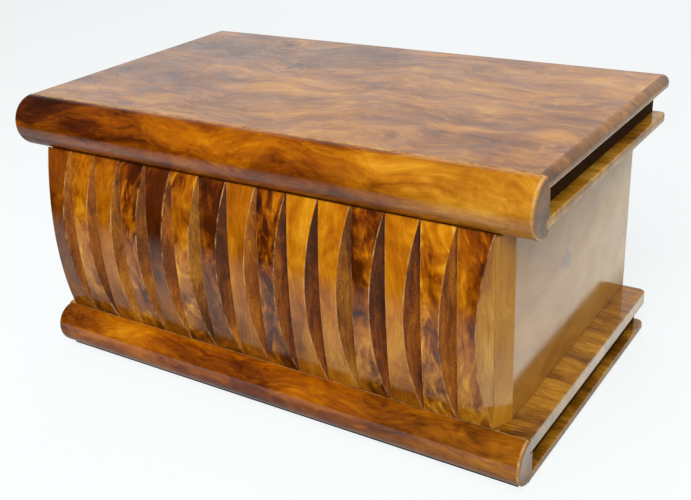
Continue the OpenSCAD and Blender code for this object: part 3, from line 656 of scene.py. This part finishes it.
def board_mesh(node, rounding=0.0, paling=0.0):
    """A cover board: round corners at the rear, eased arrises and, on request, round upper edges.

    Paling is how much paler its right end is than its middle.
    """
    shape = bpy.context.scene.book_box_shape
    low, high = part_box(node)
    bm = bmesh.new()
    bmesh.ops.create_cube(bm, size=1.0)
    for vert in bm.verts:
        vert.co = [low[k] if vert.co[k] < 0 else high[k] for k in range(3)]
    rear = [e for e in bm.edges if all(abs(v.co.y - high.y) < NEAR for v in e.verts)
            and abs(e.verts[0].co.x - e.verts[1].co.x) < NEAR]
    round_edges(bm, rear, shape.cover_corner, 6)
    if rounding:
        upper = [e for e in bm.edges if all(abs(v.co.z - high.z) < NEAR for v in e.verts)
                 and not all(abs(v.co.y - low.y) < NEAR for v in e.verts)]
        for face in round_edges(bm, upper, rounding, 8):
            face.material_index = 1
    edge = layer(bm, "faces", "edge")
    sharp = [e for e in bm.edges if e.is_manifold and e.calc_face_angle() > SHARP]
    for face in round_edges(bm, sharp, shape.cover_arris, 2):
        face[edge] = 1.0
    tone = layer(bm, "verts", "tone")
    for vert in bm.verts:
        vert[tone] = paling * vert.co.x / high.x
    return bm


def grow_along(bm, sections):
    """Joins equal rings of points into a skin with flat caps: its rings and its bands of faces."""
    rings = [[bm.verts.new(point) for point in ring] for ring in sections]
    count = len(rings[0])
    bands = []
    for ring, after in zip(rings, rings[1:]):
        bands.append([bm.faces.new((ring[i], ring[(i + 1) % count], after[(i + 1) % count], after[i]))
                      for i in range(count)])
    bm.faces.new(rings[0])
    bm.faces.new(rings[-1])
    return rings, bands


def between(values, share):
    """A value from a row of evenly spaced ones, at a share of its length."""
    at = min(max(share, 0.0), 1.0) * (len(values) - 1)
    index = min(int(at), len(values) - 2)
    return values[index] + (values[index + 1] - values[index]) * (at - index)


def arc_points(centre, radius, start, end, count):
    """Points of an arc in Y and Z, in degrees from the rear through the top."""
    turn = [math.radians(start + (end - start) * i / count) for i in range(count + 1)]
    return [(centre[0] + radius * math.cos(a), centre[1] + radius * math.sin(a)) for a in turn]


def spine_mesh(node, covers, tones, foot):
    """A rounded book spine with softened ends; foot is the lower part of its rear outline in Y and Z."""
    shape = bpy.context.scene.book_box_shape
    low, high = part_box(node)
    (upper_low, upper_high), lower_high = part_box(covers[0]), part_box(covers[1])[1]
    crease_y = upper_low.y
    back = foot + [(crease_y, lower_high.z), (high.y, lower_high.z), (high.y, upper_low.z),
                   (crease_y, upper_low.z), (crease_y, upper_high.z - shape.crease)]
    radius = crease_y - low.y
    centre = (crease_y, high.z - radius)
    flat = math.degrees(math.asin(min(1.0, (centre[1] - low.z) / radius)))
    end_steps, long_steps, round_steps = 6, 40, 43
    bm = bmesh.new()
    edge = layer(bm, "faces", "edge")
    tone = layer(bm, "verts", "tone")
    gold = layer(bm, "verts", "gold")
    turns = [math.radians(90.0 * i / end_steps) for i in range(end_steps + 1)]
    rounds = [(1.0 - math.cos(t), 1.0 - math.sin(t)) for t in turns]
    left, right = shape.spine_left, shape.spine_right
    rim_reach = 3.0 * left
    start_x, end_x = low.x + left, high.x - right
    places = [(low.x + left * out, left * inset) for out, inset in rounds]
    places += [(start_x + (end_x - start_x) * i / long_steps, 0.0) for i in range(1, long_steps)]
    places.append((end_x - 0.3 * MM, 0.0))
    places += [(high.x - right * out, right * inset) for out, inset in reversed(rounds)]
    start = 90.0 + math.degrees(shape.crease / radius)
    sections = []
    for x, inset in places:
        points = arc_points(centre, radius - inset, start, start + 2.0, 1)[:1]
        points += arc_points(centre, radius - inset, start + 2.0, 180.0 + flat, round_steps)
        sections.append([(x, y, z) for y, z in points + back])
    rings, bands = grow_along(bm, sections)
    for ring in rings:
        share = (ring[0].co.x - low.x) / (high.x - low.x)
        rim = max(0.0, 1.0 - (ring[0].co.x - low.x) / rim_reach)
        depth = between(tones, share) * (1.0 - rim) + LEFT_END_TONE * rim
        for vert in ring:
            vert[tone] = depth if share < 1.0 else RIGHT_END_TONE
            vert[gold] = between(SPINE_GOLDS, share)
    # The crease carries a pale line all along, and the round at each end another: partly rubbed wood, partly
    # a painted highlight
    for band in bands:
        band[0][edge] = 0.8
    for band in bands[2:4] + bands[-7:-3]:
        for face in band[:round_steps + 1]:
            face[edge] = 1.0
    return bm


def book_mesh(node, tones, polished=False):
    """One book: a barrel face between two sawn walls, with rubbed arrises; its right wall may be polished."""
    shape = bpy.context.scene.book_box_shape
    low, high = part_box(node)
    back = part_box("book_01")[1].y
    sag = back - low.y - shape.book_edge
    height = high.z - low.z
    radius = (height * height / 4 + sag * sag) / (2 * sag)
    middle = (low.x + high.x) / 2
    half = (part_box("book_02")[1].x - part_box("book_02")[0].x) / 2
    lean = math.tan(shape.wall_angle)
    bm = bmesh.new()
    edge = layer(bm, "faces", "edge")
    names = ("tone", "gold", "wall_tone", "wall_gold", "mottle", "lines")
    layers = {name: layer(bm, "verts", name) for name in names}
    face_tones, wall_tones, *plain = tones
    steps, corner_steps = 44, 3
    right_wall, front, left_wall = 0, corner_steps + 1, 2 * corner_steps + 2
    sections = []
    for i in range(steps + 1):
        z = low.z + height * i / steps
        rise = z - (low.z + high.z) / 2
        face_y = low.y + radius - math.sqrt(radius * radius - rise * rise)
        depth = back - face_y
        reach = half - depth * lean
        soft = min(shape.book_arris, depth * 0.4)
        corner = []
        for k in range(corner_steps + 1):
            t = math.radians(90.0 * k / corner_steps)
            out, inset = soft * (lean - 1.0 + math.cos(t)), soft * (1.0 - math.sin(t))
            corner.append((reach + out, face_y + inset))
        right = [(middle + half - (back - high.y) * lean, high.y)] + [(middle + x, y) for x, y in corner]
        left = [(2 * middle - x, y) for x, y in reversed(right)]
        sections.append([(x, y, z) for x, y in right + left])
    rings, bands = grow_along(bm, sections)
    for ring in rings:
        share = (high.z - ring[0].co.z) / height
        # Gold rises from head to foot: a painted warm tint of the floor's reflection on each book's lower
        # half
        values = (between(face_tones, share), 0.45 * share, between(wall_tones, share), *plain)
        for vert in ring:
            for name, value in zip(names, values):
                vert[layers[name]] = value
        if polished:
            ring[0][layers["tone"]] = between(wall_tones, share)
    for band in bands:
        for index, face in enumerate(band):
            face.material_index = {right_wall: 2 if polished else 1, left_wall: 1}.get(index, 0)
            face[edge] = float(right_wall < index < left_wall and index != front)
    return bm


def page_mesh(node):
    """A block of page edges with a fine cut between each two leaves."""
    shape = bpy.context.scene.book_box_shape
    low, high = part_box(node)
    count = max(2, round((high.z - low.z) / shape.leaf_pitch))
    pitch = (high.z - low.z) / count
    bm = bmesh.new()
    sections = []
    for i in range(count):
        for share, inset in ((0.0, shape.leaf_cut), (LEAF_EDGE, 0.0), (1.0 - LEAF_EDGE, 0.0)):
            z = low.z + pitch * (i + share)
            sections.append([(low.x + inset, low.y + inset, z), (high.x - inset, low.y + inset, z),
                             (high.x - inset, high.y - inset, z), (low.x + inset, high.y - inset, z)])
    sections.append([(*point[:2], high.z) for point in sections[0]])
    grow_along(bm, sections)
    return bm


# Operators

class BookBoxOperator:
    """What the operators share."""

    bl_options = {"REGISTER", "UNDO"}


class MakeCovers(BookBoxOperator, Operator):
    """Makes the cover boards of the lid book and of the base book"""

    bl_idname = "book_box.make_covers"
    bl_label = "Covers"

    def execute(self, context):
        shape = context.scene.book_box_shape
        top = lacquered_burl("lid_top_burl", "X", (0.0, 30.0, 0.0), tone=0.435, contrast=0.66, mottle=0.5,
                             lines=0.5, eyes=0.4, gold=0.5, size=1.35, knots=LID_KNOTS)
        calm = {"offset": (40.0, 0.0, 70.0), "contrast": 0.9, "swirl": 0.5, "mottle": 0.3, "lines": 0.9,
                "eyes": 0.2, "wear": 0.3, "gold": 0.75}
        cover = lacquered_burl("cover_burl", tone=0.46, **calm)
        under = lacquered_burl("lid_under_burl", tone=0.61, inside=(0.0, 0.0, -1.0), **calm)
        add_piece("lid_upper_cover", board_mesh("lid_upper_cover", shape.lid_round, 0.06), [top, edge_wood()])
        add_piece("lid_lower_cover", eased_copy("lid_lower_cover", shape.cover_arris), [under])
        for node in ("base_upper_cover", "base_lower_cover"):
            add_piece(node, board_mesh(node), [cover])
        return {"FINISHED"}


class MakeSpines(BookBoxOperator, Operator):
    """Makes the rounded spines of the lid book and of the base book"""

    bl_idname = "book_box.make_spines"
    bl_label = "Spines"

    def execute(self, context):
        burl = lacquered_burl("spine_burl", "X", (5.0, 60.0, 20.0), contrast=0.75, swirl=0.6, lines=0.6,
                              eyes=0.8, wear=0.5, size=1.2)
        covers = ("base_upper_cover", "base_lower_cover")
        foot = [(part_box(covers[0])[0].y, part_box("base_spine")[0].z)]
        add_piece("base_spine", spine_mesh("base_spine", covers, BASE_SPINE_TONES, foot), [burl])
        covers = ("lid_upper_cover", "lid_lower_cover")
        lip_y, lip_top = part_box("front_board")[1].y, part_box(covers[1])[0].z
        foot = [(lip_y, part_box("lid_spine")[0].z), (lip_y, lip_top), (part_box(covers[0])[0].y, lip_top)]
        add_piece("lid_spine", spine_mesh("lid_spine", covers, LID_SPINE_TONES, foot), [burl])
        return {"FINISHED"}


class MakeBooks(BookBoxOperator, Operator):
    """Makes the row of small books"""

    bl_idname = "book_box.make_books"
    bl_label = "Books"

    def execute(self, context):
        burl = lacquered_burl("book_burl", "Z", contrast=0.6, swirl=0.55, mottle=0.0, lines=0.1, eyes=0.3,
                              wear=0.42, size=1.3)
        wall = groove_wall_wood()
        smooth = lacquered_burl("end_wall_burl", "Z", (20.0, 0.0, 9.0), tone=0.12, contrast=0.5, swirl=0.6,
                                mottle=-0.6, lines=0.3, eyes=0.0, wear=0.42, gold=0.3, size=1.3)
        for node, tones in zip(BOOKS, BOOK_TONES):
            last = node == BOOKS[-1]
            add_piece(node, book_mesh(node, tones, last), [burl, wall, smooth] if last else [burl, wall])
        return {"FINISHED"}


class MakePanels(BookBoxOperator, Operator):
    """Makes the panels of the body and the board behind the books"""

    bl_idname = "book_box.make_panels"
    bl_label = "Panels"

    def execute(self, context):
        look = context.scene.book_box_finish
        arris = context.scene.book_box_shape.panel_arris
        insides = {"side_panel_left": (1.0, 0.0, 0.0), "side_panel_right": (-1.0, 0.0, 0.0),
                   "rear_panel": (0.0, -1.0, 0.0)}
        for node, inside in insides.items():
            grain = "X" if node == "rear_panel" else "Y"
            burl = lacquered_burl(node + "_burl", grain, (0.0, 15.0, 0.0), tone=0.62, contrast=0.4, swirl=0.8,
                                  mottle=0.1, lines=0.4, eyes=0.2, gold=0.52, size=1.5, blur=0.14,
                                  knots=PANEL_KNOTS, inside=inside)
            add_piece(node, eased_copy(node, arris), [burl])
        board = lacquered_burl("front_board_wood", "Z", (50.0, 0.0, 0.0), tone=0.63, contrast=0.4, mottle=0.1,
                               lines=0.8, eyes=0.0, gold=0.55, blur=0.16, inside=(0.0, 1.0, 0.0))
        for node in ("front_board", "runner_way_upper", "runner_way_lower", "groove_stop", "groove_filler"):
            add_piece(node, eased_copy(node, 0.1 * arris), [board])
        inner = plain_wood("inner_wood", look.inner, 0.55)
        for node in ("guide_rail", "book_runner"):
            add_piece(node, eased_copy(node, 0.3 * arris), [inner])
        return {"FINISHED"}


class MakePages(BookBoxOperator, Operator):
    """Makes the page blocks and the key drawer"""

    bl_idname = "book_box.make_pages"
    bl_label = "Pages"

    def execute(self, context):
        look = context.scene.book_box_finish
        arris = context.scene.book_box_shape.panel_arris
        page = plain_wood("page_wood", look.page, 0.7, 0.05)
        for node in BODY_OF:
            if "_pages_" in node:
                add_piece(node, page_mesh(node), [page])
        drawer = eased_copy("key_drawer", 0.5 * arris)
        cut_leaves(drawer, *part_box("key_drawer"))
        add_piece("key_drawer", drawer, [page])
        return {"FINISHED"}


class MakeMetal(BookBoxOperator, Operator):
    """Makes the hinges, the lock and the key"""

    bl_idname = "book_box.make_metal"
    bl_label = "Metal parts"

    def execute(self, context):
        look = context.scene.book_box_finish
        arris = context.scene.book_box_shape.metal_arris
        metals = {"brass": aged_metal("old_brass", look.brass, 0.28),
                  "steel": aged_metal("old_steel", look.steel, 0.34)}
        for node, slot in SLOT_OF.items():
            if slot in metals:
                piece = eased_copy(node, arris)
                if "screws" in node:
                    slot_heads(piece)
                add_piece(node, piece, [metals[slot]])
        return {"FINISHED"}


class MakeFelt(BookBoxOperator, Operator):
    """Makes the felt under the base"""

    bl_idname = "book_box.make_felt"
    bl_label = "Felt"

    def execute(self, context):
        arris = context.scene.book_box_shape.metal_arris
        add_piece("base_felt", eased_copy("base_felt", arris), [felt_cloth()])
        return {"FINISHED"}


# Place and size of each lamp in metres
LAMPS = {"key": ((0.46, -0.95, 1.10), 0.9), "fill": ((-0.6, -1.0, 0.8), 0.8), "top": ((0.1, -0.1, 1.3), 1.0),
         "rear": ((-0.4, 1.1, 0.8), 1.0)}


class MakeStage(BookBoxOperator, Operator):
    """Makes the floor, the light and the camera"""

    bl_idname = "book_box.make_stage"
    bl_label = "Stage"

    def execute(self, context):
        stage = context.scene.book_box_stage
        self.make_camera(context, stage)
        self.make_floor(context, stage)
        self.make_world(context, stage)
        for name, (place, size) in LAMPS.items():
            self.make_lamp(context, name + "_lamp", place, size, getattr(stage, name + "_power"))
        context.scene.view_settings.view_transform = "Standard"
        return {"FINISHED"}

    def make_camera(self, context, stage):
        """The camera, aimed by its azimuth, elevation and roll."""
        data = bpy.data.cameras.new("photo_camera")
        data.lens = stage.lens
        data.sensor_width = 36.0
        data.clip_start = 0.01
        camera = bpy.data.objects.new("photo_camera", data)
        turn = Matrix.Rotation(stage.azimuth, 4, "Z") @ Matrix.Rotation(math.pi / 2 - stage.elevation, 4, "X")
        turn = turn @ Matrix.Rotation(stage.roll, 4, "Z")
        camera.matrix_world = Matrix.Translation(stage.eye) @ turn
        context.scene.collection.objects.link(camera)
        context.scene.camera = camera

    def make_floor(self, context, stage):
        """A wide pale cloth that keeps the box's shadow."""
        bm = bmesh.new()
        bmesh.ops.create_grid(bm, x_segments=2, y_segments=2, size=3.0)
        mesh = bpy.data.meshes.new("floor")
        bm.to_mesh(mesh)
        bm.free()
        floor = bpy.data.objects.new("floor", mesh)
        context.scene.collection.objects.link(floor)
        mesh.materials.append(self.floor_cloth(stage))

    def floor_cloth(self, stage):
        """Pale cloth: near white for the camera, dim as it lights the box, and shaped for its reflections."""
        finish = Finish("floor_cloth")
        rays = finish.add("LightPath").outputs
        weave = finish.noise(finish.place, 60.0, 3.0)
        tint = finish.blend(weave, rgba(stage.floor, 0.97), rgba(stage.floor))
        tint = finish.blend(rays["Is Diffuse Ray"], tint, rgba(stage.bounce))
        finish.set(Base_Color=tint, Roughness=0.9, Specular_IOR_Level=0.1)
        aside, ahead, _ = finish.add("SeparateXYZ", {0: finish.place}).outputs
        # Its reflections are painted: they fade in front, darken along the box's foot as painted shade, and
        # are brightest on the right as a painted brighter reflection
        near = finish.ramp(ahead, -320.0, -140.0, 0.0, 1.1)
        # Painted shade of the box on the floor's reflection near its foot, lifted on the right
        foot = finish.ramp(ahead, -115.0, -72.0, 1.0, 0.4)
        foot = finish.math("MAXIMUM", foot, finish.ramp(aside, 115.0, 130.0))
        on_right = finish.ramp(aside, 112.0, 122.0)
        side = finish.ramp(aside, 112.0, 122.0, 1.0, finish.ramp(aside, 140.0, 225.0, 1.6, 0.7))
        mirrored = finish.math("MULTIPLY", finish.math("MULTIPLY", near, foot), side)
        cast = finish.blend(on_right, rgba((1.0, 0.97, 0.93)), rgba((0.97, 1.0, 0.91)))
        mirror = finish.add("Emission", {"Color": cast, "Strength": mirrored})
        # To the camera it is a little grey behind the box, and white far away
        bright = finish.ramp(ahead, -350.0, 250.0, 0.98, 0.70)
        away = finish.add("VectorMath", {0: finish.place}, operation="LENGTH").outputs["Value"]
        bright = finish.math("MAXIMUM", bright, finish.ramp(away, 900.0, 2600.0))
        shown = finish.math("MULTIPLY", rays["Is Camera Ray"], bright)
        glow = finish.add("Emission", {"Color": rgba((0.97, 1.0, 1.0)), "Strength": 1.0})
        seen = finish.add("MixShader", {0: shown, 1: finish.shader.outputs[0], 2: glow.outputs[0]})
        both = finish.add("MixShader", {0: rays["Is Glossy Ray"], 1: seen.outputs[0], 2: mirror.outputs[0]})
        finish.put(finish.tree.nodes["Material Output"].inputs["Surface"], both.outputs[0])
        return finish.material

    def make_world(self, context, stage):
        """White for the camera, pale behind the box and dark in front of it for its reflections."""
        world = bpy.data.worlds.new("studio")
        context.scene.world = world
        world.use_nodes = True
        nodes = Nodes(world.node_tree)
        rays = nodes.add("LightPath")
        way = nodes.add("SeparateXYZ", {0: nodes.add("TexCoord").outputs["Generated"]}).outputs
        low_rear = nodes.math("MULTIPLY_ADD", way[2], -0.6, way[1])
        mirrored = nodes.ramp(low_rear, 0.05, 0.50, 0.05, 0.98)
        plain = nodes.math("MULTIPLY_ADD", rays.outputs["Is Camera Ray"], 1.0 - stage.ambient, stage.ambient)
        difference = nodes.math("SUBTRACT", mirrored, plain)
        strength = nodes.math("MULTIPLY_ADD", rays.outputs["Is Glossy Ray"], difference, plain)
        background = world.node_tree.nodes["Background"]
        nodes.put(background.inputs["Color"], rgba((0.97, 0.98, 1.0)))
        nodes.put(background.inputs["Strength"], strength)

    def make_lamp(self, context, name, place, size, power):
        """A soft square lamp aimed at the box, left out of its reflections."""
        data = bpy.data.lights.new(name, "AREA")
        data.size = size
        data.energy = power
        lamp = bpy.data.objects.new(name, data)
        middle = (Vector(CAD_BOX[0]) + Vector(CAD_BOX[1])) / 2
        lamp.location = place
        lamp.rotation_euler = (middle - Vector(place)).to_track_quat("-Z", "Y").to_euler()
        lamp.visible_glossy = False
        lamp.visible_camera = False
        context.scene.collection.objects.link(lamp)


GROUPS = {"book_box_shape": BookBoxShape, "book_box_finish": BookBoxFinish, "book_box_stage": BookBoxStage}
MAKERS = (MakeCovers, MakeSpines, MakeBooks, MakePanels, MakePages, MakeMetal, MakeFelt, MakeStage)


class BookBoxPanel(Panel):
    """Lists the operators and the values that they use"""

    bl_idname = "VIEW3D_PT_book_box"
    bl_label = "Book Box"
    bl_space_type = "VIEW_3D"
    bl_region_type = "UI"
    bl_category = "Book Box"

    def draw(self, context):
        for maker in MAKERS:
            self.layout.operator(maker.bl_idname)
        for name, group in GROUPS.items():
            column = self.layout.column(align=True)
            for value in group.__annotations__:
                column.prop(getattr(context.scene, name), value)


def register():
    """Adds the classes and their values to the session."""
    for item in (*GROUPS.values(), *MAKERS, BookBoxPanel):
        bpy.utils.register_class(item)
    for name, group in GROUPS.items():
        setattr(bpy.types.Scene, name, PointerProperty(type=group))


def unregister():
    """Takes the classes and their values out of the session."""
    for name in GROUPS:
        delattr(bpy.types.Scene, name)
    for item in reversed((*GROUPS.values(), *MAKERS, BookBoxPanel)):
        bpy.utils.unregister_class(item)


def main():
    """Makes every piece and the stage."""
    register()
    for maker in MAKERS:
        area, name = maker.bl_idname.split(".")
        getattr(getattr(bpy.ops, area), name)()


if __name__ == "__main__":
    main()
